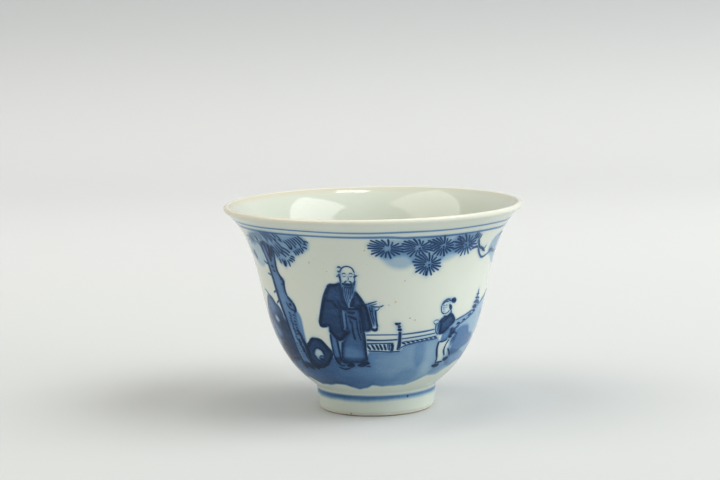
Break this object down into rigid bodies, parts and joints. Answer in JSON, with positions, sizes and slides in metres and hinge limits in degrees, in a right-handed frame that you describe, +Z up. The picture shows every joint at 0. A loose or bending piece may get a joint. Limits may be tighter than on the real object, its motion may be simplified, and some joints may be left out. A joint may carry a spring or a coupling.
{
  "type": "teacup",
  "caption": "Small handleless porcelain teacup: a deep bowl with a flared lip on a turned foot ring, painted under the glaze in cobalt with a garden scene.",
  "frame": {"origin": "middle of the foot's resting plane, on the cup's turning axis", "axes": "+Z up along the turning axis, -Y towards the painted front, +X to the right of someone who faces that front"},
  "size_m": [0.065, 0.065, 0.045],
  "materials": {
    "porcelain": "bare fired paste, matt, faintly toasted",
    "clear_glaze": "glossy clear glaze with a faint green tone over white paste",
    "lip_glaze": "thin glossy buff glaze",
    "cobalt": "dark cobalt blue under gloss glaze",
    "cobalt_wash": "thin cobalt wash under gloss glaze"
  },
  "bodies": {
    "root": {"bowl": "porcelain", "foot_ring": "porcelain", "outer_glaze": "clear_glaze", "lip_glaze": "lip_glaze", "inner_glaze": "clear_glaze", "base_glaze": "clear_glaze", "upper_rim_line": "cobalt", "lower_rim_line": "cobalt", "foot_line": "cobalt", "ground_wash": "cobalt_wash", "scholar": "cobalt", "attendant": "cobalt", "balustrade": "cobalt", "holed_rock": "cobalt", "pine_trunk": "cobalt_wash", "pine_needles": "cobalt", "hanging_branch": "cobalt", "tall_rock": "cobalt"}
  },
  "joints": []
}
